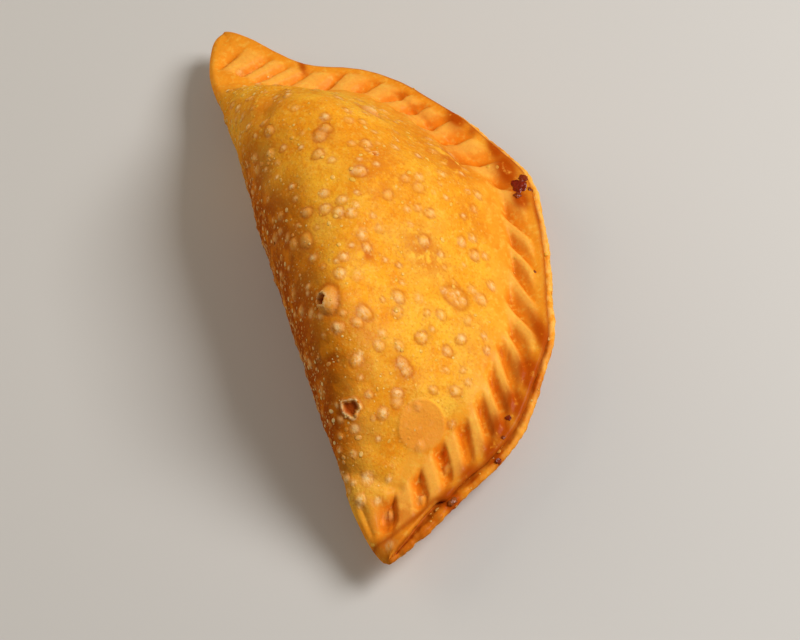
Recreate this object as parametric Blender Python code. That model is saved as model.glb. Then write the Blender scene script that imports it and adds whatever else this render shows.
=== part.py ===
"""A fried half-moon empanada: one disc of dough folded over its filling, pinched shut along
the curved edge with slanting crimps, and puffed up by the frying.

Metres, +Z up. X runs from tip to tip, the folded side is at +Y and the crimped rim at -Y.
It rests on a flat spot under its belly, and the origin is the centre of its box, at the bottom.

The skin is a sphere primitive with its poles at the two tips. Each of its rings becomes one
section across the pastry: from the fold, over the top to the crimped strip, round the two dough
layers of the rim, and back to the fold underneath. In the strip the rings follow the crimps.
"""

import bmesh
import bpy
import numpy as np

# Plan of the pastry.
LENGTH = 0.145  # tip to tip, which is about the width of the rolled disc
# The folded side stands out this far behind the line through the tips, evenly spaced from tip to tip.
FOLD_OUT = (0.0058, 0.0058, 0.0047, 0.0049, 0.0048, 0.0044, 0.0040, 0.0038, 0.0035)
FOLD_TURN = 0.016  # and it curves into each tip over this length
# How far the rim reaches from the middle of that line, every 15 degrees from tip to tip.
RIM_REACH = (
    0.0725, 0.0596, 0.0576, 0.0538, 0.0530, 0.0541, 0.0545,
    0.0545, 0.0563, 0.0601, 0.0642, 0.0662, 0.0725,
)  # fmt: skip
RIM_WOBBLE = 0.0004  # the rim wanders in and out by this much
# Its waves round the half turn: how many half waves, where they start and their share.
RIM_WANDER = ((9, 0.6, 1.0), (17, 2.0, 0.7))

# Heights.
LAYER = 0.0022  # one layer of fried dough
RIM_MID = 0.0078  # height of the seam between the layers at the rim
FOLD_MID = 0.0128  # height of the outermost line of the fold
FOLD_CLIMB = 0.030  # it climbs to that height over this length from each tip
TOP_RISE = 0.0225  # the top swells this far above the upper layer
BELLY_DROP = 0.0125  # the belly sags this far below the lower layer, before it rests
RIM_SAG = 0.0009  # the rim waves up and down by this much
RIM_WAVES = ((78, 0.4, 1.0), (171, 1.9, 0.6))  # radians per metre along X, start and share
LUMP = 0.0007  # the filling's lumps under the top
LUMP_WAVES = ((95, 120, 0.0), (-40, 160, 0.8))  # radians per metre along X and Y, and start

# How the swelling starts from the flat rim, and how it rounds over to the fold.
FOOT_OVERLAP = 0.0012  # the swelling starts this far outside the end of the crimps
TOP_SLOPE = (0.0180, 0.0200, 0.0230, 0.0300, 0.0370, 0.0340, 0.0300)  # evenly spaced from tip to tip
FOOT_CURVE = 0.35  # share of the slope that starts softly instead of at its steepest
BELLY_SLOPE = 0.0190
TOP_NOSE = (0.0140, 0.0160, 0.0180, 0.0180, 0.0170, 0.0140, 0.0100)  # evenly spaced from tip to tip
BELLY_NOSE = 0.0150
# Each tip is a flat flange: where the swelling starts, and how long it takes, +X end first.
FLANGE = (0.0180, 0.0080)
FLANGE_SLOPE = (0.0340, 0.0440)

# The crimped strip along the rim.
STRIP_WIDTH = 0.0138
STRIP_NARROW = 0.024  # the strip narrows to nothing over this length at each tip
TIP_ROUND = 0.0050  # the edge of the dough is thinner over this length at each tip
TIP_CALM = (0.0030, 0.0130)  # the crimps come in between these distances from each tip

# The crimps lean one way all along the rim. They were pinched by hand, so their spacing, their
# depth and where they end in a pit change along it: all three are evenly spaced from tip to tip.
CRIMP_PITCH = (0.0101, 0.0054, 0.0080, 0.0076, 0.0084, 0.0073, 0.0091, 0.0075, 0.0079)
CRIMP_PINCH = (0.7, 0.8, 0.85, 0.8, 0.85, 0.95, 1.05, 1.1, 1.1)
CRIMP_END = (0.0120, 0.0095, 0.0085, 0.0085, 0.0088, 0.0090, 0.0100, 0.0110, 0.0115)
FIRST_CRIMP = 0.47  # how far into its first spacing the row of crimps starts
CRIMP_SLANT = 1.05  # sideways travel for each unit that a crimp runs outwards
CRIMP_DEPTH = 0.0032
CRIMP_SKEW = 0.08  # a groove falls steeply on one side and rises gently on the other
CRIMP_SHARP = 1.2  # over 1, the ridges are broader than the grooves
CRIMP_START = 0.0017  # in from the edge, the crimps start and are full
CRIMP_FULL = 0.0040
CRIMP_FADE = 0.0030  # length of the pit's inner wall
CRIMP_OUTER = 0.6  # share of the pit's depth that a groove has at its outer end
UNDER_CRIMP = 0.35  # share of the depth that shows underneath

# The lower layer sticks out past the upper one by this much, evenly spaced from tip to tip.
LIP = (0.0002, 0.0003, 0.0004, 0.0007, 0.0011, 0.0012, 0.0012, 0.0014, 0.0024, 0.0030, 0.0022)
# Edge of the rim: rows at a distance in from the edge of their own layer, whether that is the
# upper one, and the level, from 1 on top to -1 underneath. The crease lies between the layers.
RIM_EDGE = (
    (0.0010, 1, 1.00),
    (0.0003, 1, 0.84),
    (0.0000, 1, 0.50),
    (0.0007, 1, 0.08),
    (0.0005, 0, -0.08),
    (0.0000, 0, -0.50),
    (0.0004, 0, -0.86),
    (0.0012, 0, -1.00),
)  # fmt: skip

# Fineness of the skin: rows over the body and across the strip, on top and underneath.
TOP_STEPS = 13
TOP_STRIP_STEPS = 6
UNDER_STRIP_STEPS = 3
UNDER_STEPS = 7
TOP_GATHER = 1.35  # over 1, the rows over the body are closer together near the fold
RINGS = 132
RING_LEAN = 0.7  # how soon, going in from the tips, the rings take up the slant of the crimps
FOLD_HURRY = 0.6  # the rings run faster along the fold near the tips than in the middle
RIM_SAMPLES = 720
TINY = 1e-9  # stands in for a distance of nothing, where it divides
RIM_SIDESTEP = 0.004  # step in turn, each way, that the direction of the rim is taken over

CRUST_COLOUR = (0.80, 0.36, 0.055, 1.0)
CRUST_ROUGHNESS = 0.42


def clear_scene():
    for obj in list(bpy.data.objects):
        bpy.data.objects.remove(obj)


def smooth_through(values, turn):
    """A cubic curve through evenly spaced values; turn runs from 0 at the first to 1 at the last."""
    values = np.asarray(values)
    place = np.clip(turn, 0.0, 1.0) * (len(values) - 1)
    first = np.minimum(place.astype(int), len(values) - 2)
    f = place - first
    padded = np.concatenate([[2 * values[0] - values[1]], values, [2 * values[-1] - values[-2]]])
    before, start, end, after = (padded[first + k] for k in range(4))
    slope_in = (end - before) / 2
    slope_out = (after - start) / 2
    return (
        start * (1 + 2 * f) * (1 - f) ** 2
        + slope_in * f * (1 - f) ** 2
        + end * f**2 * (3 - 2 * f)
        - slope_out * f**2 * (1 - f)
    )


def ease(share):
    """0 to 1 with no kink at either end."""
    share = np.clip(share, 0.0, 1.0)
    return share * share * (3 - 2 * share)


def quarter_round(distance, radius):
    """Height of a quarter circle of unit height at this distance from its edge."""
    left = 1 - np.clip(distance / radius, 0.0, 1.0)
    return np.sqrt(1 - left * left)


def swelling(share):
    """0 to 1 from the foot of a swelling to its full height: soft at the foot, round at the top."""
    share = np.clip(share, 0.0, 1.0)
    return (1 - FOOT_CURVE) * np.sin(np.pi / 2 * share) + FOOT_CURVE * ease(share)


def rim_point(turn, wobble=RIM_WOBBLE):
    """The outline along the rim, from the +X tip (turn 0) to the -X tip (turn 1)."""
    angle = np.pi * turn
    wander = sum(share * np.sin(angle * count + start) for count, start, share in RIM_WANDER)
    reach = smooth_through(RIM_REACH, turn) + wobble * wander * np.sin(angle)
    return np.stack([reach * np.cos(angle), -reach * np.sin(angle)], axis=-1)


def rim_inward(turn):
    """The direction into the pastry, square to the outline without its wobble."""
    step = rim_point(turn + RIM_SIDESTEP, 0.0) - rim_point(turn - RIM_SIDESTEP, 0.0)
    step /= np.linalg.norm(step, axis=-1, keepdims=True)
    return np.stack([step[..., 1], -step[..., 0]], axis=-1)


def rim_table():
    """Turns along the rim, and how far along it each one lies from the +X tip."""
    turns = np.linspace(0, 1, RIM_SAMPLES + 1)
    steps = np.linalg.norm(np.diff(rim_point(turns, 0.0), axis=0), axis=1)
    return turns, np.concatenate([[0], np.cumsum(steps)])


def fold_point(turn):
    """The outline along the folded side, from the same tip to the same tip."""
    hurried = turn + FOLD_HURRY * turn * (1 - turn) * (1 - 2 * turn)
    x = LENGTH / 2 * (1 - 2 * hurried)
    y = smooth_through(FOLD_OUT, hurried) * quarter_round(LENGTH / 2 - np.abs(x), FOLD_TURN)
    return np.stack([x, y], axis=-1)


def crimp_count(place, length):
    """How many crimps lie between the start and this place along the rim."""
    places = np.linspace(0, length + STRIP_WIDTH * CRIMP_SLANT, RIM_SAMPLES)
    crimps_per_metre = 1 / smooth_through(CRIMP_PITCH, places / length)
    counts = np.cumsum(crimps_per_metre) * (places[1] - places[0])
    return np.interp(place, places, counts) + FIRST_CRIMP


def crimps(inset, along, length):
    """How deep the crimps press the dough here, from 0 on a ridge to 1 in the inner pit of a groove."""
    phase = 2 * np.pi * crimp_count(along + CRIMP_SLANT * inset, length)
    skewed = phase + 2 * np.pi * CRIMP_SKEW * np.sin(phase / 2) ** 2
    valley = ease(0.5 + 0.5 * np.cos(skewed)) ** CRIMP_SHARP
    end = smooth_through(CRIMP_END, along / length)
    outer = ease((inset - CRIMP_START) / (CRIMP_FULL - CRIMP_START))
    inner = 1 - ease((inset - end) / CRIMP_FADE)
    deepening = CRIMP_OUTER + (1 - CRIMP_OUTER) * np.clip(inset / end, 0, 1)
    return valley * outer * inner * deepening * smooth_through(CRIMP_PINCH, along / length)


def section_rows():
    """One row for each step round a section: share of the way from the strip to the fold,
    distance in from the edge of its layer, whether that is the upper one, and level."""
    rows = [(1 - (k / TOP_STEPS) ** TOP_GATHER, STRIP_WIDTH, 1, 1.0) for k in range(TOP_STEPS)]
    top_edge, under_edge = RIM_EDGE[0][0], RIM_EDGE[-1][0]
    for k in range(TOP_STRIP_STEPS):
        inset = STRIP_WIDTH + (top_edge - STRIP_WIDTH) * k / TOP_STRIP_STEPS
        rows.append((0.0, inset, 1, 1.0))
    rows += [(0.0, *edge) for edge in RIM_EDGE]
    for k in range(1, UNDER_STRIP_STEPS + 1):
        inset = under_edge + (STRIP_WIDTH - under_edge) * k / UNDER_STRIP_STEPS
        rows.append((0.0, inset, 0, -1.0))
    for k in range(1, UNDER_STEPS):
        rows.append(((1 - np.cos(np.pi * k / UNDER_STEPS)) / 2, STRIP_WIDTH, 0, -1.0))
    return np.array(rows)


def section_places(turn, row):
    """The skin's points in plan, with what their heights depend on: distance in from the rim and
    along it, distance from the fold, distance from the nearer tip along the rim, and level."""
    body_share, inset, upper, level = section_rows()[row].T
    turns, lengths = rim_table()
    whole = lengths[-1]
    lean = np.sin(np.pi * turn) ** RING_LEAN
    along = np.interp(turn, turns, lengths) - CRIMP_SLANT * inset * lean
    turn = np.interp(along, lengths, turns)
    from_tip = np.minimum(along, whole - along)
    narrow = np.sin(np.pi / 2 * np.clip(from_tip / STRIP_NARROW, 0, 1))
    lip = upper * smooth_through(LIP, along / whole)
    inset = narrow * (lip + inset * (1 - lip / STRIP_WIDTH))
    strip_place = rim_point(turn) + rim_inward(turn) * inset[:, None]
    fold = fold_point(turn)
    plan = strip_place + (fold - strip_place) * body_share[:, None]
    inward = inset + np.linalg.norm(plan - strip_place, axis=1)
    from_fold = np.linalg.norm(fold - plan, axis=1)
    return plan, inward, along / whole, from_fold, from_tip, level


def dough_surface(turn, row):
    """Points of the skin: turn says which section, and row which step round it."""
    plan, inward, along_share, from_fold, from_tip, level = section_places(turn, row)
    length = rim_table()[1][-1]

    thin = quarter_round(from_tip, TIP_ROUND)
    layer = LAYER * thin * quarter_round(from_fold, LAYER)
    x, y = plan.T
    end = np.where(x > 0, 0, 1)
    past_flange = LENGTH / 2 - np.abs(x) - np.take(FLANGE, end)
    from_ends = swelling(past_flange / np.take(FLANGE_SLOPE, end))
    swell_start = inward - smooth_through(CRIMP_END, along_share) + FOOT_OVERLAP
    nose = smooth_through(TOP_NOSE, along_share)
    from_rim = swelling(swell_start / smooth_through(TOP_SLOPE, along_share))
    top_swell = from_rim * from_ends * quarter_round(from_fold, nose)
    belly_swell = ease(swell_start / BELLY_SLOPE) * from_ends * quarter_round(from_fold, BELLY_NOSE)

    climb = ease((LENGTH / 2 - np.abs(x)) / FOLD_CLIMB)
    rim_share = ease(from_fold / np.maximum(from_fold + inward, TINY))
    wave = sum(share * np.sin(x * bend + start) for bend, start, share in RIM_WAVES)
    mid = RIM_MID + (FOLD_MID - RIM_MID) * climb * (1 - rim_share) + RIM_SAG * wave * rim_share
    lumps = np.prod([np.sin(x * along + y * across + start) for along, across, start in LUMP_WAVES], axis=0)
    calm = ease((LENGTH / 2 - np.abs(x) - TIP_CALM[0]) / (TIP_CALM[1] - TIP_CALM[0]))
    press = CRIMP_DEPTH * calm * crimps(inward, along_share * length, length)
    top = mid + layer + TOP_RISE * top_swell + LUMP * lumps * top_swell - press
    under = mid - layer - BELLY_DROP * belly_swell + UNDER_CRIMP * press
    under = np.maximum(under, 0.0)
    height = under + (top - under) * (level + 1) / 2
    return np.column_stack([plan, height])


def make_empanada(collection):
    steps_round = len(section_rows())
    bm = bmesh.new()
    bmesh.ops.create_uvsphere(bm, u_segments=steps_round, v_segments=RINGS, radius=1.0)
    balls = np.array([v.co for v in bm.verts])
    turn = np.arccos(np.clip(balls[:, 2], -1, 1)) / np.pi
    round_share = np.arctan2(-balls[:, 0], balls[:, 1]) / (2 * np.pi)  # a ring's first point is at +Y
    row = np.rint(round_share * steps_round).astype(int) % steps_round
    points = dough_surface(turn, row)
    points[:, :2] -= (points[:, :2].min(axis=0) + points[:, :2].max(axis=0)) / 2
    for vert, point in zip(bm.verts, points):
        vert.co = point
    mesh = bpy.data.meshes.new("empanada")
    bmesh.ops.triangulate(bm, faces=bm.faces, quad_method="SHORT_EDGE")
    bm.to_mesh(mesh)
    bm.free()
    mesh.shade_smooth()
    mesh.materials.append(crust_material())
    obj = bpy.data.objects.new("empanada", mesh)
    collection.objects.link(obj)
    return obj


def crust_material():
    material = bpy.data.materials.new("fried_crust")
    material.use_nodes = True
    shader = material.node_tree.nodes["Principled BSDF"]
    shader.inputs["Base Color"].default_value = CRUST_COLOUR
    shader.inputs["Roughness"].default_value = CRUST_ROUGHNESS
    shader.inputs["Metallic"].default_value = 0.0
    return material


def main():
    clear_scene()
    collection = bpy.data.collections.new("empanada")
    bpy.context.scene.collection.children.link(collection)
    make_empanada(collection)


main()
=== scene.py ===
import math

import bmesh
import bpy
import numpy as np
from mathutils import Matrix, Vector, noise
from mathutils.kdtree import KDTree


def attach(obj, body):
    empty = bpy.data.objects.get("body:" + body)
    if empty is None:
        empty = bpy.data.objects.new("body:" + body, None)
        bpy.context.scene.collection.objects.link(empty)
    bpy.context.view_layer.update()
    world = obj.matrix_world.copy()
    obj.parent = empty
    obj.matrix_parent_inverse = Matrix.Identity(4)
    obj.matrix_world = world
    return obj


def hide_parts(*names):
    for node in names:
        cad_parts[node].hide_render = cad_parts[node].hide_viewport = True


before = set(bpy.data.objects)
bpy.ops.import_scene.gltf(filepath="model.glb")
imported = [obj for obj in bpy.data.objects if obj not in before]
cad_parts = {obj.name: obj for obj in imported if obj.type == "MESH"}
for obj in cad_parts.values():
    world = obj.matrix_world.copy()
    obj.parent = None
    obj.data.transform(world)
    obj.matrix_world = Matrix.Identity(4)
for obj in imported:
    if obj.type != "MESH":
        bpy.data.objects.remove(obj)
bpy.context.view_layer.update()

# ---------------------------------------------------------------------------
# The crust: its form
# One round of wheat dough, folded over the filling and pinched shut by hand along the curved rim.
# Frying puffed up its top. A ball's poles become the two tips, and each of its rings one section
# across the pastry: over the top to the crimped strip, round both layers, and back underneath.
# ---------------------------------------------------------------------------

# Plan. Here and below, a list of sizes or shares is evenly spaced from the +X tip to the -X tip.
length = 0.145
fold_out = (0.0058, 0.0058, 0.0047, 0.0049, 0.0048, 0.0044, 0.0040, 0.0038, 0.0035)
fold_turn = 0.016  # the folded side curves into each tip over this length
# How far the rim reaches from the middle of the line through the tips, every 15 degrees.
rim_reach = (
    0.0725, 0.0596, 0.0576, 0.0538, 0.0530, 0.0541, 0.0545,
    0.0545, 0.0563, 0.0601, 0.0642, 0.0662, 0.0725,
)  # fmt: skip
rim_wobble = 0.0004  # the rim wanders in and out by this much
# Its waves round the half turn: how many half waves, where they start and their share.
rim_wander = ((9, 0.6, 1.0), (17, 2.0, 0.7))
rim_sidestep = 0.004  # step in turn, each way, that the direction of the rim is taken over

# Heights.
layer = 0.0022  # one layer of fried dough
rim_mid = 0.0078  # the seam between the layers at the rim
fold_mid = 0.0128  # the outermost line of the fold
fold_climb = 0.030  # which climbs to that height over this length from each tip
top_rise = 0.0225  # the top swells this far above the upper layer
belly_drop = 0.0125  # the belly sags this far below the lower layer, before it rests
rim_sag = 0.0009  # the rim waves up and down by this much
rim_waves = ((78, 0.4, 1.0), (171, 1.9, 0.6))  # radians per metre along X, start and share
lump = 0.0007  # the filling's lumps under the top
lump_waves = ((95, 120, 0.0), (-40, 160, 0.8))  # radians per metre along X and Y, and start

# How the swelling starts from the flat rim, and how it rounds over to the fold.
foot_overlap = 0.0012  # it starts this far outside the end of the crimps
top_slope = (0.0180, 0.0200, 0.0230, 0.0300, 0.0370, 0.0340, 0.0300)
foot_curve = 0.35  # share of the slope that starts softly
belly_slope = 0.0190
top_nose = (0.0140, 0.0160, 0.0180, 0.0180, 0.0170, 0.0140, 0.0100)
belly_nose = 0.0150
# Each tip is a flat flange: where the swelling starts, and how long it takes, +X end first.
flange = (0.0180, 0.0080)
flange_slope = (0.0340, 0.0440)

# The crimped strip along the rim.
strip_width = 0.0138
strip_narrow = 0.024  # it narrows to nothing over this length at each tip
tip_round = 0.0050  # the edge of the dough is thinner over this length at each tip
# The crimps start this far from each tip and are full this much further in, +X end first.
tip_calm = 0.0030
calm_length = (0.0100, 0.0050)
fold_calm = (0.0010, 0.0060)  # near the fold they come in between these distances

# The crimps. They were pinched by hand, so everything about them changes along the rim.
crimp_pitch = (
    0.0173, 0.0046, 0.0111, 0.0059, 0.0100, 0.0156,
    0.0075, 0.0094, 0.0060, 0.0069, 0.0146,
)  # fmt: skip
crimp_slant = (0.12, 0.49, 0.48, 0.41, 1.39, 1.57, 1.26, 0.60, 1.90)  # sideways for each unit out
first_crimp = 0.388  # how far into its first spacing the row starts
crimp_depth = 0.0022
crimp_pinch = (0.8, 1.2, 1.2, 0.85, 0.55, 0.52, 0.62, 0.85, 1.0)  # as a share of that depth
# How far in from the edge the pressed dough ends, and how far in the grooves run.
crimp_end = (0.0120, 0.0095, 0.0085, 0.0085, 0.0088, 0.0090, 0.0100, 0.0110, 0.0115)
groove_reach = (0.0110, 0.0088, 0.0080, 0.0096, 0.0078, 0.0084, 0.0096, 0.0098, 0.0088)
crimp_start = 0.0015  # in from the edge, the crimps start here
crimp_full = 0.0033  # and are full here
crimp_fade = 0.0013  # length of a groove's inner wall
crimp_outer = 0.30  # share of its depth that a groove has at its outer end
# Where a groove's floor ends and where its slow and its steep wall meet the ridges, as shares of
# the spacing: mere creases towards the +X tip, open troughs towards the -X tip.
groove_floor = (0.00, 0.00, 0.02, 0.04, 0.07, 0.09, 0.10, 0.13, 0.12)
groove_wall = (0.45, 0.42, 0.44, 0.58, 0.68, 0.70, 0.62, 0.42, 0.36)
groove_steep = (0.10, 0.10, 0.10, 0.11, 0.13, 0.15, 0.16, 0.26, 0.30)
ridge_round = (0.60, 0.60, 0.60, 0.45, 0.30, 0.22, 0.22, 0.22, 0.22)  # how far a ridge falls away
band_press = 0.30  # share of the depth that the band outside the crimps is pressed down
under_crimp = 0.35  # share of the depth that shows underneath
most_crimps = 40  # more than the rim has room for

# The lower layer sticks out past the upper one, and from a tear to the -X tip still further. The
# tear: the share of the rim where it starts, how much of the rim it takes, and what it adds.
lip = (0.0002, 0.0003, 0.0004, 0.0007, 0.0010, 0.0011, 0.0011, 0.0012, 0.0015, 0.0019, 0.0024)
torn_lip = (0.905, 0.012, 0.0011)
pressed_lip = 0.0012  # the crimps keep clear of at most this much of it
# The edge of the rim: rows at a distance in from the edge of their own layer, how much they
# belong to the upper one, and the level, from 1 on top to -1 underneath.
rim_edge = (
    (0.0010, 1.00, 1.00), (0.0006, 1.00, 0.95), (0.0002, 1.00, 0.82), (0.0000, 1.00, 0.60),
    (0.0001, 1.00, 0.36), (0.0005, 1.00, 0.14), (0.0009, 1.00, 0.00), (0.0009, 0.85, -0.10),
    (0.0008, 0.60, -0.04), (0.0007, 0.35, 0.02), (0.0005, 0.15, 0.00), (0.0002, 0.00, -0.12),
    (0.0000, 0.00, -0.36), (0.0000, 0.00, -0.62), (0.0003, 0.00, -0.84), (0.0007, 0.00, -0.95),
    (0.0012, 0.00, -1.00),
)  # fmt: skip
seam_in_edge = 7  # the row of them in the crease between the layers

# Fineness of the skin: rows over the body and across the strip, on top and underneath.
rings = 488
top_steps, top_strip_steps, under_strip_steps, under_steps = 114, 28, 8, 34
top_gather = 1.45  # over 1, the rows over the body are closer together near the fold
ring_slant = 1.05  # the rings run this far sideways for each unit across the strip
ring_lean = 0.7  # how soon, going in from the tips, they take up that slant
fold_hurry = 0.6  # the rings run faster along the fold near the tips than in the middle
rim_samples = 1440
tiny_distance = 1e-9  # stands in for a distance of nothing, where it divides


def smooth_through(values, turn):
    """A cubic curve through evenly spaced values, from the first at turn 0 to the last at 1."""
    values = np.asarray(values)
    place = np.clip(turn, 0.0, 1.0) * (len(values) - 1)
    first = np.minimum(place.astype(int), len(values) - 2)
    f = place - first
    padded = np.concatenate([[2 * values[0] - values[1]], values, [2 * values[-1] - values[-2]]])
    before, start, end, after = (padded[first + k] for k in range(4))
    return (
        start * (1 + 2 * f) * (1 - f) ** 2
        + (end - before) / 2 * f * (1 - f) ** 2
        + end * f**2 * (3 - 2 * f)
        - (after - start) / 2 * f**2 * (1 - f)
    )


def ease(share):
    """0 to 1 with no kink at either end."""
    share = np.clip(share, 0.0, 1.0)
    return share * share * (3 - 2 * share)


def quarter_round(distance, radius):
    """Height of a quarter circle of unit height at this distance from its edge."""
    remaining = 1 - np.clip(distance / radius, 0.0, 1.0)
    return np.sqrt(1 - remaining * remaining)


def swelling(share):
    """0 to 1 from the foot of a swelling to its full height: soft at the foot, round at the top."""
    share = np.clip(share, 0.0, 1.0)
    return (1 - foot_curve) * np.sin(np.pi / 2 * share) + foot_curve * ease(share)


def rim_point(turn, wobble):
    """The outline along the rim, from the +X tip (turn 0) to the -X tip (turn 1)."""
    angle = np.pi * turn
    wander = sum(share * np.sin(angle * count + start) for count, start, share in rim_wander)
    reach = smooth_through(rim_reach, turn) + wobble * wander * np.sin(angle)
    return np.stack([reach * np.cos(angle), -reach * np.sin(angle)], axis=-1)


def rim_inward(turn):
    """The direction into the pastry, square to the outline without its wobble."""
    step = rim_point(turn + rim_sidestep, 0.0) - rim_point(turn - rim_sidestep, 0.0)
    step /= np.linalg.norm(step, axis=-1, keepdims=True)
    return np.stack([step[..., 1], -step[..., 0]], axis=-1)


def fold_point(turn):
    """The outline along the folded side, from the same tip to the same tip."""
    hurried = turn + fold_hurry * turn * (1 - turn) * (1 - 2 * turn)
    x = length / 2 * (1 - 2 * hurried)
    y = smooth_through(fold_out, hurried) * quarter_round(length / 2 - np.abs(x), fold_turn)
    return np.stack([x, y], axis=-1)


def lip_width(share):
    """How far the lower layer sticks out past the upper one, at this share of the rim."""
    return smooth_through(lip, share) + torn_lip[2] * ease((share - torn_lip[0]) / torn_lip[1])


rim_turns = np.linspace(0, 1, rim_samples + 1)
rim_steps = np.linalg.norm(np.diff(rim_point(rim_turns, 0.0), axis=0), axis=1)
rim_lengths = np.concatenate([[0], np.cumsum(rim_steps)])
rim_whole = rim_lengths[-1]

# How many crimps lie between the start of the rim and each place along it. No two of them are
# quite alike in depth and length.
crimp_places = np.linspace(0, rim_whole + strip_width * max(crimp_slant), rim_samples)
crimp_counts = np.cumsum(1 / smooth_through(crimp_pitch, crimp_places / rim_whole))
crimp_counts = crimp_counts * (crimp_places[1] - crimp_places[0]) + first_crimp
fingers = np.random.default_rng(7)
pinch_by_crimp = fingers.uniform(0.85, 1.12, most_crimps)
end_by_crimp = fingers.uniform(-0.0008, 0.0008, most_crimps)


def by_crimp(values):
    """Each point's value, running from one crimp's own to the next one's."""
    return np.interp(count, range(most_crimps), values)


# One row of the skin for each step round a section: share of the way from the strip to the fold,
# distance in from the edge of its layer, how much it belongs to the upper one, and level.
rows = [(1 - (k / top_steps) ** top_gather, strip_width, 1, 1.0) for k in range(top_steps)]
top_edge, under_edge = rim_edge[0][0], rim_edge[-1][0]
for k in range(top_strip_steps):
    rows.append((0.0, strip_width + (top_edge - strip_width) * k / top_strip_steps, 1, 1.0))
rows += [(0.0, *edge) for edge in rim_edge]
for k in range(1, under_strip_steps + 1):
    rows.append((0.0, under_edge + (strip_width - under_edge) * k / under_strip_steps, 0, -1.0))
for k in range(1, under_steps):
    rows.append(((1 - np.cos(np.pi * k / under_steps)) / 2, strip_width, 0, -1.0))
rows = np.array(rows)
edge_row = top_steps + top_strip_steps
seam_row = edge_row + seam_in_edge

crust = bmesh.new()
bmesh.ops.create_uvsphere(crust, u_segments=len(rows), v_segments=rings, radius=1.0)
ball = np.array([v.co for v in crust.verts])
turn = np.arccos(np.clip(ball[:, 2], -1, 1)) / np.pi
round_share = np.arctan2(-ball[:, 0], ball[:, 1]) / (2 * np.pi)  # each ring starts at +Y
row = np.rint(round_share * len(rows)).astype(int) % len(rows)
body_share, inset, upper, level = rows[row].T

# Where each point lies in plan, and how far from the rim, the fold and the tips.
lean = ring_slant * inset * np.sin(np.pi * turn) ** ring_lean
along = np.interp(turn, rim_turns, rim_lengths) - lean
turn = np.interp(along, rim_lengths, rim_turns)
along_share = along / rim_whole
from_tip = np.minimum(along, rim_whole - along)
narrow = np.sin(np.pi / 2 * np.clip(from_tip / strip_narrow, 0, 1))
overhang = upper * lip_width(along_share)
inset = narrow * (overhang + inset * (1 - overhang / strip_width))
strip_place = rim_point(turn, rim_wobble) + rim_inward(turn) * inset[:, None]
fold = fold_point(turn)
plan = strip_place + (fold - strip_place) * body_share[:, None]
inward = inset + np.linalg.norm(plan - strip_place, axis=1)
from_fold = np.linalg.norm(fold - plan, axis=1)
x, y = plan.T
from_end = length / 2 - np.abs(x)
end = np.where(x > 0, 0, 1)

# The crimps: slanting grooves pinched between round ridges, with a pressed band outside them.
rim_tree = KDTree(rim_samples + 1)
for index, place in enumerate(rim_point(rim_turns, rim_wobble)):
    rim_tree.insert((*place, 0), index)
rim_tree.balance()
nearest = [rim_tree.find((px, py, 0)) for px, py in plan]
to_rim = np.array([distance for _, _, distance in nearest])
strip_along = rim_lengths[[index for _, index, _ in nearest]]
strip_share = strip_along / rim_whole
slant = smooth_through(crimp_slant, strip_share)
count = np.interp(strip_along + slant * to_rim, crimp_places, crimp_counts)
past = count - np.floor(count)
floor_start = 1 - smooth_through(groove_floor, strip_share)
wall_start = 1 - smooth_through(groove_wall, strip_share)
steep_end = smooth_through(groove_steep, strip_share)
slow_wall = ease((past - wall_start) / (floor_start - wall_start))
valley = np.maximum(1 - ease(past / steep_end), slow_wall)
crest = (steep_end + wall_start) / 2
ridge_fall = np.clip(np.abs(past - crest) / 0.5, 0, 1) ** 2
ridge_fall *= smooth_through(ridge_round, strip_share)
valley = valley * (1 - ridge_fall) + ridge_fall
groove_end = smooth_through(groove_reach, strip_share) + by_crimp(end_by_crimp)
in_strip = 1 - ease((to_rim - groove_end) / crimp_fade)
band_end = np.minimum(lip_width(strip_share), pressed_lip) + crimp_start
past_band = ease((to_rim - band_end) / (crimp_full - crimp_start))
deepening = crimp_outer + (1 - crimp_outer) * np.clip(to_rim / groove_end, 0, 1)
calm = ease((from_end - tip_calm) / np.take(calm_length, end))
calm *= ease((from_fold - fold_calm[0]) / (fold_calm[1] - fold_calm[0]))
pinch = smooth_through(crimp_pinch, strip_share) * by_crimp(pinch_by_crimp)
groove = valley * in_strip * past_band * deepening * calm
press = crimp_depth * (groove * pinch + band_press * (1 - past_band) * calm)

# Heights of the two layers, and of the swellings of the top and the belly.
thin = quarter_round(from_tip, tip_round)
half = layer * thin * quarter_round(from_fold, layer)
from_ends = swelling((from_end - np.take(flange, end)) / np.take(flange_slope, end))
swell_start = inward - smooth_through(crimp_end, along_share) + foot_overlap
top_swell = swelling(swell_start / smooth_through(top_slope, along_share)) * from_ends
top_swell *= quarter_round(from_fold, smooth_through(top_nose, along_share))
belly_swell = ease(swell_start / belly_slope) * from_ends * quarter_round(from_fold, belly_nose)
climb = ease(from_end / fold_climb)
rim_share = ease(from_fold / np.maximum(from_fold + inward, tiny_distance))
wave = sum(share * np.sin(x * bend + start) for bend, start, share in rim_waves)
mid = rim_mid + (fold_mid - rim_mid) * climb * (1 - rim_share) + rim_sag * wave * rim_share
lumps = np.prod([np.sin(x * a + y * b + start) for a, b, start in lump_waves], axis=0)
top = mid + half + top_rise * top_swell + lump * lumps * top_swell - press
under = np.maximum(mid - half - belly_drop * belly_swell + under_crimp * press, 0.0)
height = under + (top - under) * (level + 1) / 2
points = np.column_stack([plan, height])
points[:, :2] -= (points[:, :2].min(axis=0) + points[:, :2].max(axis=0)) / 2
for vert, point in zip(crust.verts, points):
    vert.co = point
crust_mesh = bpy.data.meshes.new("fried_crust")
crust.to_mesh(crust_mesh)
crust.free()
crust_mesh.shade_smooth()

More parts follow.
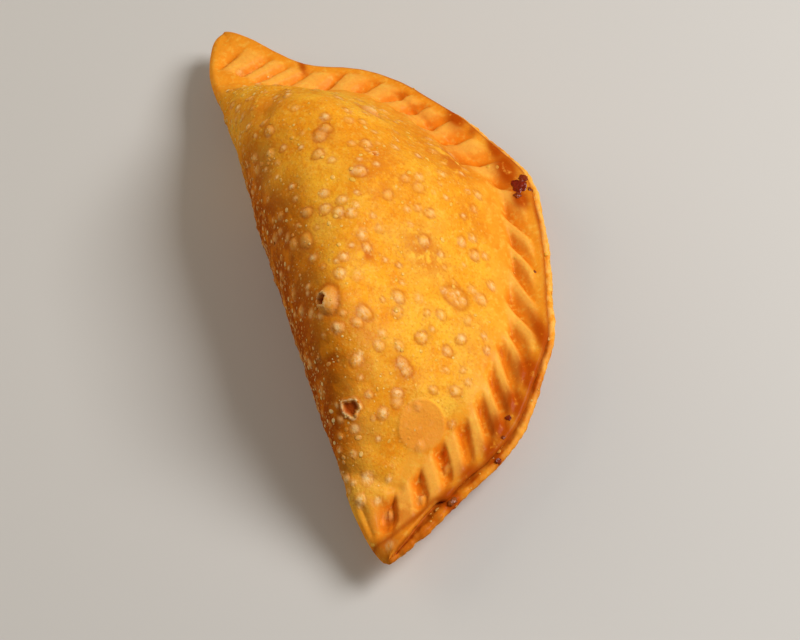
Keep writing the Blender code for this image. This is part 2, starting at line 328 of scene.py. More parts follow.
# ---------------------------------------------------------------------------
# The crust: its blisters
# Steam from the dough raised bubbles of its thin outer skin in the hot oil. Most are small domes,
# a few burst and left open craters, and one large bubble fell back into a flat disc.
# ---------------------------------------------------------------------------


def skin_points():
    """Where the points of the crust's mesh are."""
    found = np.empty(len(crust_mesh.vertices) * 3, np.float32)
    crust_mesh.vertices.foreach_get("co", found)
    return found.reshape(-1, 3).astype(float)


def skin_normals():
    """Which way the skin faces at each point."""
    found = np.empty(len(crust_mesh.vertices) * 3, np.float32)
    crust_mesh.vertex_normals.foreach_get("vector", found)
    return found.reshape(-1, 3).astype(float)


def skin_areas():
    """The area of skin around each point."""
    area = np.empty(len(crust_mesh.polygons), np.float32)
    crust_mesh.polygons.foreach_get("area", area)
    corners = np.empty(len(crust_mesh.polygons), np.int32)
    crust_mesh.polygons.foreach_get("loop_total", corners)
    index = np.empty(len(crust_mesh.loops), np.int32)
    crust_mesh.loops.foreach_get("vertex_index", index)
    return np.bincount(index, np.repeat(area / corners, corners), len(crust_mesh.vertices))


def scatter(weight, how_many, apart, rng):
    """Picks points of the skin, more of them where the weight is larger, none closer than apart."""
    picked = rng.choice(len(points), how_many, p=weight / weight.sum())
    kept = []
    places = np.empty((how_many, 3))
    for index in picked:
        if kept and np.linalg.norm(places[: len(kept)] - points[index], axis=1).min() < apart:
            continue
        places[len(kept)] = points[index]
        kept.append(index)
    return kept


def bell(distance, width):
    """1 at no distance, falling to nothing with no edge over a few widths."""
    return np.exp(-((distance / width) ** 2))


def noise_over(waves):
    """Noise at each point of the skin: the sum of these waves to the metre and their heights."""
    return np.array([
        sum(noise.noise(point * bend) * swing for bend, swing in waves)
        for point in map(Vector, points)
    ])  # fmt: skip


points = skin_points()
normals = skin_normals()
areas = skin_areas()
on_top = level > 0
# The puffed body: all of the skin but the crimped strip and the flanges.
foot = smooth_through(crimp_end, along_share)
body = ease((inward - foot - 0.0005) / 0.0035) * ease(from_ends * 5)
body *= ease((inward - strip_width * 0.6) / (strip_width * 0.5))
# The fold browned down to a ragged limit, but not near the tips, and the +X one least of all.
# Its darker colour there is partly painted shade of the side that turns away from the light.
cloud = noise_over(((60, 1.0), (140, 0.5)))
unbrowned, browning_length = (0.036, 0.010), (0.022, 0.016)  # +X end first
fold_browning_and_shade = 1 - ease(from_fold / (0.018 + 0.009 * cloud))
fold_browning_and_shade *= ease((from_end - np.take(unbrowned, end)) / np.take(browning_length, end))
# The smallest bubbles crowd on it and on the shoulder towards the +X tip.
shoulder = ease((x - 0.020) / 0.020)
crowded = fold_browning_and_shade + 0.7 * shoulder * (1 - ease((from_fold - 0.008) / 0.010))
# The most golden part of the top, an oval with no edge.
golden = np.hypot((points[:, 0] + 0.027) / 0.030, (points[:, 1] + 0.004) / 0.015)
golden = bell(golden, 1) * on_top

# What the blisters do to the skin: raise it, make it pale or amber, brown it round them, open it.
raised, pale, amber, halo, hole = np.zeros((5, len(points)))
skin_tree = KDTree(len(points))
for index, point in enumerate(points):
    skin_tree.insert(point, index)
skin_tree.balance()


def around(centre, radius, reach):
    """The skin's points within reach of a centre, and how far each one is, both in radii."""
    found = skin_tree.find_range(centre, radius * reach)
    return np.array([f[1] for f in found]), np.array([f[2] for f in found]) / radius


def top_place(x, y):
    """The place on the top of the pastry at this plan position."""
    tops = np.flatnonzero(on_top)
    return points[tops[np.argmin(np.hypot(points[tops, 0] - x, points[tops, 1] - y))]]


def round_about(centre, away):
    """The angle of each of these steps from the centre, in the plane of the skin."""
    outward = Vector(normals[skin_tree.find(centre)[1]])
    first = outward.orthogonal().normalized()
    return np.arctan2(away @ outward.cross(first), away @ first)


def blow_blister(centre, radius, rise, paleness, browning):
    """A dome of uneven outline, with a pale heart to one side, partly a painted glint, and a
    browned moat round its foot.
    """
    index, far = around(centre, radius, reach=1.8)
    away = points[index] - centre
    angle = round_about(centre, away)
    start = centre[0] * 9000 + centre[1] * 5000  # another outline and heart at each place
    far /= 1 + 0.10 * np.sin(angle * 2 + start) + 0.06 * np.sin(angle * 3 + start * 1.7)
    dome = np.clip(1 - far**2, 0, 1)
    moat = bell(far - 1, 0.22)
    # The pale heart is partly the thin skin's own colour, partly a painted glint off centre.
    off_centre = away - 0.25 * radius * np.array([np.cos(start), np.sin(start), 0])
    heart = bell(np.linalg.norm(off_centre, axis=1), 0.7 * radius)
    raised[index] = np.maximum(raised[index], rise * dome**0.8) - 0.15 * rise * moat
    pale[index] = np.maximum(pale[index], paleness * heart)
    amber[index] = np.maximum(amber[index], dome**0.4)
    halo[index] = np.maximum(halo[index], browning * (moat + 0.3 * bell(far - 1, 0.5)))


def open_crater(centre, radius, rim_rise, depth):
    """A burst bubble: a torn ring of skin round a hole that shows the darker crumb."""
    index, far = around(centre, radius, reach=1.9)
    angle = round_about(centre, points[index] - centre)
    far /= 1 + 0.10 * np.sin(angle * 3 + 1.0) + 0.08 * np.sin(angle * 5 + 2.0)
    ring = bell(far - 1.15, 0.18)
    inside = 1 - ease((far - 0.70) / 0.30)
    raised[index] += rim_rise * ring
    raised[index] = raised[index] * (1 - inside) - depth * inside
    pale[index] = np.maximum(pale[index] * (1 - inside), ring)
    halo[index] = np.maximum(halo[index] * (1 - inside), bell(far - 1.5, 0.15) * 0.8)
    hole[index] = np.maximum(hole[index], inside)


# Blisters that stand out, by place on the top, radius, rise, paleness and how brown the foot is.
wide_blisters = (
    (-0.0241, 0.0191, 0.0029, 0.0013, 0.4, 1.0),
    (0.0250, -0.0016, 0.0025, 0.0012, 0.7, 0.9),
    (-0.0565, 0.0072, 0.0012, 0.0007, 0.2, 0.0),
    (-0.0615, 0.0143, 0.0012, 0.0007, 0.3, 0.0),
    (-0.0629, 0.0214, 0.0011, 0.0006, 0.3, 0.0),
    (-0.0700, 0.0232, 0.0012, 0.00015, 0.6, 0.0),
    (-0.0235, -0.0060, 0.0027, 0.0001, 0.2, 0.8),
    (-0.0232, -0.0056, 0.0007, 0.0003, 1.0, 0.7),
    (-0.0250, -0.0058, 0.0008, 0.0003, 0.7, 0.9),
    (-0.0224, -0.0068, 0.0007, 0.0003, 0.9, 0.8),
    (-0.0242, -0.0072, 0.0010, 0.00033, 1.0, 0.6),
    (-0.0225, -0.0044, 0.0009, 0.00033, 1.0, 0.5),
    (-0.0215, -0.0098, 0.0010, 0.00026, 0.7, 0.5),
    (-0.0235, -0.0108, 0.0013, 0.00033, 0.6, 0.7),
    (-0.0350, -0.0010, 0.0012, 0.00039, 0.6, 1.0),
    (-0.0325, 0.0035, 0.0014, 0.00033, 0.8, 0.9),
    (-0.0250, 0.0050, 0.0014, 0.00026, 0.7, 0.8),
    (-0.0285, 0.0125, 0.0017, 0.00039, 0.7, 0.9),
    (-0.0305, 0.0185, 0.0013, 0.00039, 0.9, 0.5),
    (-0.0345, 0.0120, 0.0012, 0.00033, 0.8, 0.6),
    (-0.0345, 0.0085, 0.0012, 0.00026, 0.6, 0.5),
    (-0.0370, 0.0175, 0.0014, 0.00033, 0.8, 0.7),
    (-0.0385, 0.0085, 0.0015, 0.00026, 0.6, 0.9),
    (-0.0430, 0.0120, 0.0013, 0.00039, 0.9, 0.9),
    (-0.0460, 0.0160, 0.0013, 0.00039, 0.9, 0.6),
    (-0.0450, 0.0090, 0.0010, 0.00033, 1.0, 0.4),
    (-0.0510, 0.0110, 0.0011, 0.00039, 1.0, 0.3),
    (-0.0125, -0.0035, 0.0014, 0.00039, 0.7, 0.9),
    (-0.0135, -0.0130, 0.0012, 0.00039, 0.7, 1.0),
    (-0.0165, 0.0130, 0.0011, 0.00033, 0.9, 0.6),
    (-0.0070, 0.0085, 0.0012, 0.00026, 0.9, 0.5),
    (-0.0035, 0.0100, 0.0012, 0.00033, 0.8, 0.6),
    (0.0025, 0.0045, 0.0015, 0.00039, 0.7, 0.9),
    (0.0105, 0.0010, 0.0013, 0.00033, 0.6, 0.8),
    (0.0220, 0.0200, 0.0014, 0.00039, 0.6, 0.7),
    (0.0190, 0.0075, 0.0011, 0.00033, 0.8, 0.6),
    (0.0145, 0.0100, 0.0016, 0.00039, 0.4, 0.9),
    (0.0160, 0.0080, 0.0014, 0.00033, 0.4, 0.9),
    (0.0310, 0.0140, 0.0011, 0.00033, 0.9, 0.4),
    (0.0290, 0.0245, 0.0010, 0.00033, 1.0, 0.4),
    (-0.0085, 0.0197, 0.0018, 0.00033, 0.2, 0.7),
    (-0.0185, 0.0220, 0.0009, 0.00033, 1.0, 0.5),
    (-0.0540, 0.0274, 0.0010, 0.00030, 0.9, 0.3),
    (-0.0550, 0.0234, 0.0011, 0.00033, 1.0, 0.3),
    (-0.0556, 0.0262, 0.0007, 0.00020, 0.8, 0.2),
    (-0.0588, 0.0258, 0.0012, 0.00036, 1.0, 0.3),
    (-0.0602, 0.0227, 0.0009, 0.00030, 0.9, 0.3),
    (-0.0563, 0.0192, 0.0008, 0.00030, 0.9, 0.3),
)
for x_place, y_place, *look in wide_blisters:
    blow_blister(top_place(x_place, y_place), *look)

# Soft creases in the top, by their two ends, width and depth. A depth below nothing is a fold
# that stands up.
creases = (
    ((-0.0531, 0.0277), (-0.0585, 0.0178), 0.0010, 0.0006),
    ((-0.0500, 0.0268), (-0.0545, 0.0180), 0.0014, -0.0004),
    ((-0.0590, 0.0275), (-0.0622, 0.0205), 0.0013, -0.0003),
    ((0.0380, -0.0085), (0.0290, -0.0120), 0.0008, 0.0004),
    ((0.0290, -0.0120), (0.0070, -0.0180), 0.0008, 0.0004),
    ((0.0360, -0.0060), (0.0070, -0.0155), 0.0012, -0.0004),
    ((0.0370, 0.0150), (0.0285, 0.0205), 0.0026, 0.0006),
    ((0.0285, 0.0205), (0.0325, 0.0275), 0.0026, 0.0006),
    ((-0.0335, 0.0255), (-0.0362, 0.0205), 0.0013, 0.0004),
    ((-0.0605, 0.0225), (-0.0650, 0.0232), 0.0010, 0.0007),
    ((-0.0605, 0.0264), (-0.0660, 0.0266), 0.0010, 0.0007),
)
off_the_fold = ease(from_fold / 0.002)
sunk = np.zeros(len(points))
for start, stop, width, depth in creases:
    line = np.subtract(stop, start)
    share = np.clip((points[:, :2] - start) @ line / (line @ line), 0, 1)
    far = np.linalg.norm(points[:, :2] - start - share[:, None] * line, axis=1)
    sunk += depth * bell(far, width) * on_top * off_the_fold

# Past the tear, towards the -X tip, the lower layer curls up past the seam into a lumpy roll,
# and the torn end of the roll stands out as a stub.
roll_height, stub_height, stub_size = 0.0007, 0.0008, 0.0013
curl = bell(row - seam_row - 3.5, 2.2)
curled = curl * ease((along_share - torn_lip[0]) / torn_lip[1])
sunk -= roll_height * curled
lip_end = bell(np.linalg.norm(points - top_place(-0.0640, 0.0082), axis=1), stub_size)
sunk -= stub_height * lip_end

# The bubble that fell back flat, a plate with a fine bead along its edge.
plate_radius, plate_rise, bead_rise = 0.0054, 0.0002, 0.00012
index, far = around(top_place(-0.048, 0.0095), plate_radius, reach=1.3)
plate = 1 - ease((far - 0.94) / 0.08)
raised[index] += plate_rise * plate + bead_rise * bell(far - 0.96, 0.04)
fallen = np.zeros(len(points))
fallen[index] = plate

# The rest of the blisters, most of them small, and fewer underneath.
blisters = np.random.default_rng(21)
blister_weight = areas * body * np.where(on_top, 1 + crowded, 0.5) + areas * 0.02
for index in scatter(blister_weight, how_many=520, apart=0.0026, rng=blisters):
    radius = 0.0006 + 0.0008 * blisters.random() ** 2
    rise = radius * blisters.uniform(0.12, 0.28)
    paleness = blisters.uniform(0.3, 1.0)
    blow_blister(points[index], radius, rise, paleness, blisters.uniform(0.2, 0.9))

# Burst bubbles, by place on the top, radius, height of the torn ring and depth of the hole.
craters = (
    (-0.0238, 0.0199, 0.0012, 0.0003, 0.0006),
    (-0.0442, 0.0217, 0.0016, 0.0005, 0.0006),
    (0.0072, 0.0000, 0.0006, 0.0002, 0.0006),
)
for x_place, y_place, *look in craters:
    open_crater(top_place(x_place, y_place), *look)

# The dough's own unevenness, between its lumps and its grain, and the puckers of its edge.
uneven = noise_over(((95, 0.00050), (210, 0.00026), (480, 0.00009)))
puckers = 0.00026 * noise_over(((420, 1.0), (1100, 0.8)))
rim_row = (row > seam_row - 4) & (row <= edge_row + len(rim_edge))
raised += uneven * (0.4 + 0.6 * body) - sunk + puckers * (rim_row + 1.6 * curled)
points += normals * raised[:, None]
points[:, 2] = np.maximum(points[:, 2], 0.0)
crust_mesh.vertices.foreach_set("co", points.astype(np.float32).ravel())
crust_mesh.update()

# ---------------------------------------------------------------------------
# The crust: its finish
# Golden wheat dough, fried to a thin crisp skin with a film of oil. The pressed rim is smoother
# and more orange, the grooves are deep orange, and the fold and the edge have browned the most.
# ---------------------------------------------------------------------------
# The crease between the layers, and the step from the upper layer's edge to the lower one.
seam = np.clip(1 - (np.abs(row - seam_row) - 0.5) / 2, 0, 1)
seam = np.maximum(seam, 0.85 * bell(inset - overhang, 0.0006) * on_top)
seam *= ease(lip_width(along_share) / 0.0006)
# The ridges between the grooves, and the sharp line that each groove leaves where it is deepest.
crimped = in_strip * past_band * calm
# The ridges are later painted paler, partly their own tone and partly painted highlight.
ridge = (1 - valley) * crimped
crease = bell(np.minimum(past, 1 - past), 0.08) * crimped
crease *= ease((to_rim / groove_end - 0.30) / 0.45)
inner_end = ease((to_rim / groove_end - 0.6) / 0.4)
# The pits are painted dark: partly browning, partly painted shade in the deepest recess.
pit_browning_and_shade = np.maximum(groove**3 * inner_end, 0.8 * crease)


def patches(places):
    """Soft oval patches on the top, by place, size along x and along y, and strength."""
    found = np.zeros(len(points))
    for x_place, y_place, x_size, y_size, strength in places:
        far = np.hypot((points[:, 0] - x_place) / x_size, (points[:, 1] - y_place) / y_size)
        found = np.maximum(found, strength * bell(far, 1) * np.where(on_top, 1, 0.6))
    return found


# Where juice and heat have browned the rim.
scorched = patches((
    (0.0268, -0.0192, 0.0040, 0.0022, 0.9),
    (0.0560, 0.0095, 0.0030, 0.0010, 0.7),
    (0.0157, -0.0250, 0.0045, 0.0018, 0.9),
    (0.0220, -0.0215, 0.0020, 0.0014, 0.6),
    (0.0090, -0.0256, 0.0060, 0.0026, 0.9),
    (0.0000, -0.0262, 0.0030, 0.0020, 0.9),
    (-0.0050, -0.0285, 0.0060, 0.0008, 0.5),
    (-0.0330, -0.0205, 0.0070, 0.0020, 0.8),
    (-0.0420, -0.0155, 0.0055, 0.0032, 1.0),
    (-0.0475, -0.0105, 0.0045, 0.0030, 0.85),
    (-0.0520, -0.0060, 0.0045, 0.0030, 0.8),
    (-0.0570, -0.0030, 0.0040, 0.0026, 1.0),
    (-0.0600, 0.0030, 0.0035, 0.0030, 0.8),
    (-0.0642, 0.0085, 0.0024, 0.0024, 1.0),
    (-0.0700, 0.0225, 0.0030, 0.0060, 0.45),
    (-0.0665, 0.0140, 0.0030, 0.0050, 0.35),
    (-0.0350, 0.0222, 0.0016, 0.0020, 0.5),
))  # fmt: skip
# The roll of the lower layer has browned along its whole length, and its end has burnt.
scorched = np.maximum(scorched, 0.56 * curl * ease((along_share - 0.86) / 0.08))
scorched = np.maximum(scorched, lip_end**0.2)
# Where the top has coloured more than round about.
browned = patches((
    (0.0110, -0.0150, 0.0085, 0.0032, 1.0),
    (0.0180, -0.0110, 0.0180, 0.0055, 0.45),
    (0.0310, 0.0190, 0.0050, 0.0050, 0.5),
    (-0.0640, 0.0210, 0.0040, 0.0055, 0.8),
    (0.0150, 0.0090, 0.0032, 0.0022, 0.7),
    (-0.0164, 0.0086, 0.0014, 0.0026, 1.0),
    (-0.0385, 0.0085, 0.0025, 0.0020, 0.8),
    (-0.0150, -0.0030, 0.0055, 0.0040, 0.8),
    (-0.0129, 0.0107, 0.0040, 0.0030, 0.5),
    (0.0030, 0.0000, 0.0085, 0.0060, 0.6),
    (-0.0044, -0.0147, 0.0060, 0.0030, 0.5),
))  # fmt: skip
for name, values in (
    ("blister", pale * np.where(on_top, 0.8, 0.35)),
    ("amber", amber),
    ("halo", halo),
    ("hole", hole),
    ("fallen", fallen),
    ("groove", groove**0.7 * pinch * (1.3 - 0.7 * shoulder)),
    ("ridge", ridge),
    ("pit_browning_and_shade", pit_browning_and_shade),
    ("seam", seam),
    ("edge", rim_row * (1 - ease((along_share - 0.6) / 0.3))),
    ("body", body),
    ("fold_browning_and_shade", fold_browning_and_shade),
    ("golden", golden),
    ("high", uneven / 0.0010 + 0.5),
    ("browned", browned),
    ("stain", scorched),
):
    layer_of_values = crust_mesh.attributes.new(name, "FLOAT", "POINT")
    layer_of_values.data.foreach_set("value", np.clip(values, 0, 1).astype(np.float32))


def new_material(name):
    """A new material and its shader."""
    made = bpy.data.materials.new(name)
    made.use_nodes = True
    return made, made.node_tree.nodes["Principled BSDF"]


def feed(socket, value):
    """Links a socket to the output of a node, or sets it to a number or a colour."""
    if isinstance(value, bpy.types.NodeSocket):
        socket.id_data.links.new(value, socket)
    elif socket.type == "RGBA":
        socket.default_value = (*value, 1.0)
    else:
        socket.default_value = value


def feed_all(node, values):
    """Feeds the inputs of a node, by name."""
    for name, value in values.items():
        feed(node.inputs[name], value)


def object_place(material):
    """The place of each point of the piece, which stays with it as it moves."""
    return material.node_tree.nodes.new("ShaderNodeTexCoord").outputs["Object"]


def from_mesh(material, name):
    """What the mesh holds at each point under this name."""
    made = material.node_tree.nodes.new("ShaderNodeAttribute")
    made.attribute_name = name
    return made.outputs["Fac"]


def spread(value, low, high, into=(0.0, 1.0)):
    """Stretches a value so that low and high become the two ends of into, softly."""
    made = value.id_data.nodes.new("ShaderNodeMapRange")
    made.interpolation_type = "SMOOTHSTEP"
    feed_all(made, {"Value": value, "From Min": low, "From Max": high})
    feed_all(made, {"To Min": into[0], "To Max": into[1]})
    return made.outputs["Result"]


def clouds(place, scale, detail=2):
    """Soft noise, scale waves to the metre."""
    made = place.id_data.nodes.new("ShaderNodeTexNoise")
    feed_all(made, {"Vector": place, "Scale": scale, "Detail": detail})
    return made.outputs["Fac"]


def combine(operation, one, other):
    """Adds or multiplies a value and another value or number."""
    made = one.id_data.nodes.new("ShaderNodeMath")
    made.operation = operation
    feed(made.inputs[0], one)
    feed(made.inputs[1], other)
    return made.outputs["Value"]


def times(one, other):
    return combine("MULTIPLY", one, other)


def glaze(under, colour, share):
    """Lays a colour over what is there, as strongly as share says."""
    made = share.id_data.nodes.new("ShaderNodeMix")
    made.data_type = "RGBA"
    feed(made.inputs["Factor"], share)
    feed(made.inputs[6], under)
    feed(made.inputs[7], colour)
    return made.outputs[2]


skin, skin_shader = new_material("fried_dough")
on_skin = object_place(skin)


def mottle(scale, detail, low, high):
    """Clouds over the dough, stretched so that low becomes 0 and high becomes 1."""
    return spread(clouds(on_skin, scale, detail), low, high)


def bubbles(scale, size, chance):
    """Tiny domes one to a cell: their height, for the cells that hold one."""
    made = skin.node_tree.nodes.new("ShaderNodeTexVoronoi")
    feed_all(made, {"Vector": on_skin, "Scale": scale})
    parted = skin.node_tree.nodes.new("ShaderNodeSeparateColor")
    feed(parted.inputs["Color"], made.outputs["Color"])
    holds_one = spread(parted.outputs["Red"], 1 - chance, 1 - chance + 0.02)
    return times(spread(made.outputs["Distance"], size, 0.0), holds_one)


is_body = from_mesh(skin, "body")
part_body = times(is_body, 0.6)
tiny = times(bubbles(1500, 0.42, 0.35), is_body)
small = times(bubbles(700, 0.32, 0.30), is_body)
# The fold's browns: frying's browning with painted shade of the side turned from the light.
crisped_and_shaded = glaze((0.34, 0.048, 0.001), (0.66, 0.17, 0.004), mottle(230, 4, 0.46, 0.68))
speckled = times(mottle(1700, 3, 0.48, 0.68), spread(is_body, 0.0, 1.0, (0.14, 0.34)))
stained = times(spread(from_mesh(skin, "stain"), 0.0, 0.80), mottle(700, 4, 0.15, 0.44))
heart = times(from_mesh(skin, "blister"), mottle(1300, 3, 0.30, 0.58))
# Orange on the rim and gold on the body, and then one glaze over another.
dough = glaze((0.88, 0.31, 0.018), (0.86, 0.34, 0.014), is_body)
for colour, share in (
    # Broad clouds, paler on the body and browner everywhere.
    ((0.90, 0.42, 0.024), times(from_mesh(skin, "golden"), 0.4)),
    ((0.92, 0.48, 0.034), times(mottle(120, 3, 0.42, 0.66), part_body)),
    ((0.95, 0.56, 0.070), times(mottle(55, 2, 0.52, 0.72), part_body)),
    ((0.76, 0.22, 0.006), times(mottle(75, 4, 0.50, 0.74), 0.6)),
    ((0.76, 0.21, 0.006), times(mottle(330, 4, 0.48, 0.70), 0.45)),
    # The form: high places painted paler as highlight, ridges paler with painted highlight besides.
    ((0.94, 0.52, 0.06), times(spread(from_mesh(skin, "high"), 0.5, 0.9), 0.4)),
    ((0.96, 0.49, 0.085), times(from_mesh(skin, "ridge"), 0.6)),
    # Grooves painted deep orange: the pressed dough's colour with painted shade of the recess.
    ((0.93, 0.23, 0.006), times(from_mesh(skin, "groove"), 0.9)),
    # Pits darker: browning with painted shade in the deepest part of each groove.
    ((0.56, 0.11, 0.002), times(from_mesh(skin, "pit_browning_and_shade"), 0.8)),
    ((0.94, 0.55, 0.08), times(mottle(900, 3, 0.48, 0.72), 0.45)),
    # What the frying browned, the fold with painted shade besides, and the edge that it didn't.
    (crisped_and_shaded, times(from_mesh(skin, "fold_browning_and_shade"), 0.95)),
    ((0.64, 0.15, 0.004), speckled),
    ((0.62, 0.145, 0.007), times(from_mesh(skin, "browned"), mottle(420, 4, 0.30, 0.55))),
    ((0.93, 0.47, 0.09), times(from_mesh(skin, "edge"), mottle(600, 4, 0.36, 0.60))),
    ((0.46, 0.070, 0.0015), stained),
    # The bubbles, from the finest to the pale hearts of the blisters, partly painted glints.
    ((0.95, 0.54, 0.11), times(tiny, 0.35)),
    ((0.95, 0.56, 0.14), times(small, 0.5)),
    ((0.54, 0.13, 0.003), times(from_mesh(skin, "halo"), 0.75)),
    ((0.84, 0.35, 0.045), times(from_mesh(skin, "amber"), 0.5)),
    ((0.96, 0.72, 0.36), times(heart, 0.9)),
    ((0.82, 0.31, 0.035), times(from_mesh(skin, "fallen"), 0.8)),
    # The crease between the layers, and the crumb inside the burst bubbles.
    ((0.38, 0.06, 0.002), times(from_mesh(skin, "seam"), 0.9)),
    ((0.42, 0.070, 0.005), from_mesh(skin, "hole")),
):
    dough = glaze(dough, colour, share)

grain = times(mottle(1500, 3, 0.2, 0.8), spread(is_body, 0.0, 1.0, (0.3, 0.75)))
relief = combine("ADD", combine("ADD", times(tiny, 0.5), small), grain)
bump = skin.node_tree.nodes.new("ShaderNodeBump")
feed_all(bump, {"Strength": 0.7, "Distance": 0.00014, "Height": relief})
feed_all(skin_shader, {
    "Base Color": dough,
    "Roughness": spread(from_mesh(skin, "amber"), 0.0, 0.8, (0.48, 0.20)),
    "Specular IOR Level": 0.03,
    "Specular Tint": (1.0, 0.76, 0.48),
    "Subsurface Weight": 0.10,
    "Subsurface Radius": (1.0, 0.35, 0.08),
    "Subsurface Scale": 0.0015,
    "Coat Weight": 0.05,
    "Coat Roughness": 0.22,
    "Normal": bump.outputs["Normal"],
    "Coat Normal": bump.outputs["Normal"],
})  # fmt: skip


def set_out(name, mesh, material):
    """Puts a finished mesh into the scene as a piece in this material."""
    mesh.materials.append(material)
    made = bpy.data.objects.new(name, mesh)
    bpy.context.scene.collection.objects.link(made)
    return made


crust_piece = set_out("fried_crust", crust_mesh, skin)
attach(crust_piece, "root")
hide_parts("empanada")

# ---------------------------------------------------------------------------
# Small blisters
# The finest bubbles of the skin, thin and half translucent, crowded most along the browned fold.
# One round dome, flattened and half sunk in the dough, is repeated over the crust as real mesh.
# ---------------------------------------------------------------------------
dome = bmesh.new()
bmesh.ops.create_uvsphere(dome, u_segments=10, v_segments=4, radius=1.0)
bmesh.ops.triangulate(dome, faces=dome.faces)
dome_points = np.array([v.co for v in dome.verts])
dome_mesh = bpy.data.meshes.new("dome")
dome.to_mesh(dome_mesh)
dome.free()

steep = normals[:, 2] < 0.5
above_the_floor = points[:, 2] > 0.0012
fizz_weight = np.where(on_top, 0.10 + (1.1 + 2.5 * steep) * crowded, 0.5) * body * (hole < 0.1)
fizz_weight = areas * (fizz_weight + np.where(rim_row, 0.4, 0.015)) * above_the_floor
fizz = np.random.default_rng(5)
fizz_places = scatter(fizz_weight, how_many=2000, apart=0.0007, rng=fizz)
fizz_sizes = [0.00016 + 0.00044 * fizz.random() ** 2 for _ in fizz_places]
normals = skin_normals()
fizz_points, fizz_tones, fizz_browning_and_shade = [], [], []
for index, radius in zip(fizz_places, fizz_sizes):
    # Part of the way to a point beside it, so that the mesh of the crust doesn't show as rows.
    beside = [found[1] for found in skin_tree.find_range(points[index], 0.0011)]
    step = points[fizz.choice([index] + beside)] - points[index]
    place = points[index] + step * fizz.uniform(0, 0.6) - normals[index] * radius * 0.05
    facing = Vector(normals[index]).to_track_quat("Z", "Y").to_matrix()
    facing = np.array(facing @ Matrix.Rotation(fizz.uniform(0, np.pi), 3, "Z"))
    size = radius * np.array((fizz.uniform(1.0, 1.4), 1.0, fizz.uniform(0.14, 0.32)))
    fizz_points.append(dome_points * size @ facing.T + place)
    tone = (0.4 + 0.6 * crowded[index]) * fizz.random() ** 1.5
    fizz_tones.append(tone * ease((dome_points[:, 2] - 0.15) / 0.7))
    fizz_browning_and_shade.append(np.full(len(dome_points), max(fold_browning_and_shade[index], scorched[index])))
fizz_points = np.concatenate(fizz_points)
fizz_points[:, 2] = np.maximum(fizz_points[:, 2], 0.0)

fizz_form = bmesh.new()
for _ in fizz_places:
    fizz_form.from_mesh(dome_mesh)
bpy.data.meshes.remove(dome_mesh)
fizz_mesh = bpy.data.meshes.new("small_blisters")
fizz_form.to_mesh(fizz_mesh)
fizz_form.free()
fizz_mesh.vertices.foreach_set("co", fizz_points.astype(np.float32).ravel())
fizz_mesh.update()
fizz_mesh.shade_smooth()
for name, values in (("tone", fizz_tones), ("brown", fizz_browning_and_shade)):
    fizz_values = fizz_mesh.attributes.new(name, "FLOAT", "POINT")
    fizz_values.data.foreach_set("value", np.concatenate(values).astype(np.float32))

# Amber on gold dough and brown on browned dough (on the fold partly painted shade), and pale
# towards the crown of each dome.
film, film_shader = new_material("blister_skin")
film_colour = glaze((0.92, 0.43, 0.040), (0.62, 0.15, 0.003), from_mesh(film, "brown"))
feed_all(film_shader, {
    "Base Color": glaze(film_colour, (0.97, 0.68, 0.30), from_mesh(film, "tone")),
    "Roughness": 0.28,
    "Specular IOR Level": 0.25,
    "Subsurface Weight": 0.3,
    "Subsurface Radius": (1.0, 0.45, 0.15),
    "Subsurface Scale": 0.0008,
})  # fmt: skip
fizz_piece = set_out("small_blisters", fizz_mesh, film)
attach(fizz_piece, "root")

# ---------------------------------------------------------------------------
# Leaked filling
# A little of the juice came out through the crimps and burnt on the rim into dark red, glassy
# drops. Each is a ball flattened on to the crust, with the uneven outline of something spilt.
# ---------------------------------------------------------------------------
# By place, radius and how brown rather than red they burnt.
leaks = (
    (0.0035, -0.0268, 0.0018, 0.1),
    (0.0052, -0.0284, 0.0009, 0.3),
    (0.0010, -0.0260, 0.0008, 0.5),
    (0.0048, -0.0262, 0.0007, 0.0),
    (0.0020, -0.0290, 0.0006, 0.6),
    (-0.0500, -0.0081, 0.0006, 0.2),
    (-0.0580, -0.0033, 0.0006, 0.3),
    (-0.0540, -0.0058, 0.0004, 0.6),
    (-0.0173, -0.0238, 0.0004, 0.8),
    (-0.0638, 0.0078, 0.0007, 1.0),
    (-0.0643, 0.0087, 0.0006, 1.0),
    (0.0565, 0.0090, 0.0007, 1.0),
)
drop_flatness = 0.26
drop_sink = Vector((0, 0, 0.05))  # in radii
spilt = bmesh.new()
burnt = []
for x_place, y_place, radius, brownness in leaks:
    drop = bmesh.ops.create_icosphere(spilt, subdivisions=4, radius=1.0)["verts"]
    centre = Vector((x_place, y_place, top_place(x_place, y_place)[2]))
    facing = Vector(normals[skin_tree.find(centre)[1]]).to_track_quat("Z", "Y").to_matrix()
    for vert in drop:
        uneven_by = (0.55 - 0.20 * brownness) * noise.noise(vert.co * 1.6 + centre * 900)
        uneven_by += (0.25 - 0.10 * brownness) * noise.noise(vert.co * 4)
        flattened = vert.co * (1 + uneven_by) * Vector((1, 1, drop_flatness)) - drop_sink
        vert.co = centre + facing @ flattened * radius
        burnt.append(brownness)
leak_mesh = bpy.data.meshes.new("leaked_filling")
spilt.to_mesh(leak_mesh)
spilt.free()
leak_mesh.shade_smooth()
leak_values = leak_mesh.attributes.new("burnt", "FLOAT", "POINT")
leak_values.data.foreach_set("value", np.array(burnt, np.float32))

syrup, syrup_shader = new_material("burnt_juice")
curdled = clouds(object_place(syrup), 1500)
red = glaze((0.06, 0.002, 0.001), (0.36, 0.022, 0.006), curdled)
brown = glaze((0.14, 0.022, 0.002), (0.42, 0.10, 0.009), curdled)
feed(syrup_shader.inputs["Base Color"], glaze(red, brown, from_mesh(syrup, "burnt")))
feed(syrup_shader.inputs["Roughness"], 0.3)
leak_piece = set_out("leaked_filling", leak_mesh, syrup)
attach(leak_piece, "root")

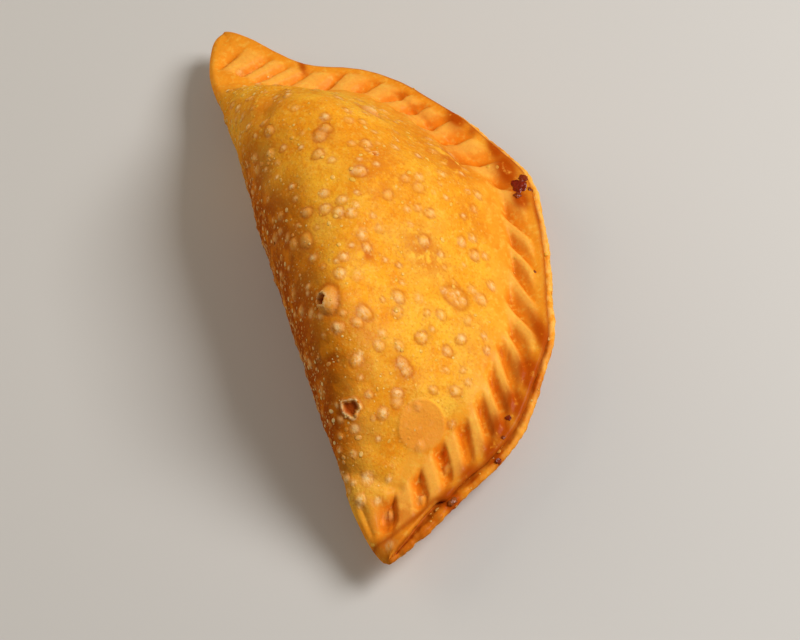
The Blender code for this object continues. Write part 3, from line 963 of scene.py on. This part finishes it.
# ---------------------------------------------------------------------------
# Floor, light and camera
# A pale floor, a soft key light from the front and a weaker, warmer one from behind. The crust's
# gloss mirrors the key alone: the floor, the second light and the surroundings are kept out of it.
# ---------------------------------------------------------------------------
bpy.ops.mesh.primitive_plane_add(size=6)
floor = bpy.context.object
floor.name = "floor"
floor_paint, floor_shader = new_material("pale_floor")
feed_all(floor_shader, {"Base Color": (0.62, 0.61, 0.60), "Roughness": 0.7})
floor.data.materials.append(floor_paint)
floor.visible_glossy = False

lamp_aim = Vector((0, 0, 0.015))


def softbox(name, place, size, power, colour, in_gloss):
    """A square area light that faces the pastry."""
    lamp = bpy.data.lights.new(name, "AREA")
    lamp.energy = power
    lamp.size = size
    lamp.color = colour
    box = bpy.data.objects.new(name, lamp)
    box.visible_glossy = in_gloss
    box.location = place
    box.rotation_euler = (lamp_aim - Vector(place)).to_track_quat("-Z", "Y").to_euler()
    bpy.context.scene.collection.objects.link(box)


key_colour, fill_colour = (1.0, 0.98, 0.95), (1.0, 0.86, 0.66)
softbox("key", (-0.12, -0.58, 0.56), size=0.35, power=6.5, colour=key_colour, in_gloss=True)
softbox("fill", (0.50, 0.50, 0.28), size=0.6, power=2.3, colour=fill_colour, in_gloss=False)
world = bpy.data.worlds.new("studio")
world.use_nodes = True
feed_all(world.node_tree.nodes["Background"], {"Color": (1.0, 0.92, 0.80), "Strength": 0.21})
world.cycles_visibility.glossy = False
bpy.context.scene.world = world
bpy.context.scene.view_settings.view_transform = "Standard"

azimuth, elevation, roll = math.radians(-88.13), math.radians(57.0), math.radians(-20.7)
camera_distance = 0.617
focal = 129.45
sensor = 36
aim = Vector((-0.0113, 0.00843, 0.0078))
sideways, downwards = 0.003217, 0.004290  # from the line through the aim, in the picture's plane
level_back = Vector((math.sin(azimuth), -math.cos(azimuth), 0))
back = level_back * math.cos(elevation) + Vector((0, 0, math.sin(elevation)))
level_right = Vector((math.cos(azimuth), math.sin(azimuth), 0))
level_up = back.cross(level_right)
right = level_right * math.cos(roll) + level_up * math.sin(roll)
up = level_up * math.cos(roll) - level_right * math.sin(roll)
stand = aim + back * camera_distance + right * sideways - up * downwards
lens = bpy.data.cameras.new("camera")
lens.lens = focal
lens.sensor_width = sensor
camera = bpy.data.objects.new("camera", lens)
camera.matrix_world = Matrix.Translation(stand) @ Matrix((right, up, back)).transposed().to_4x4()
bpy.context.scene.collection.objects.link(camera)
bpy.context.scene.camera = camera
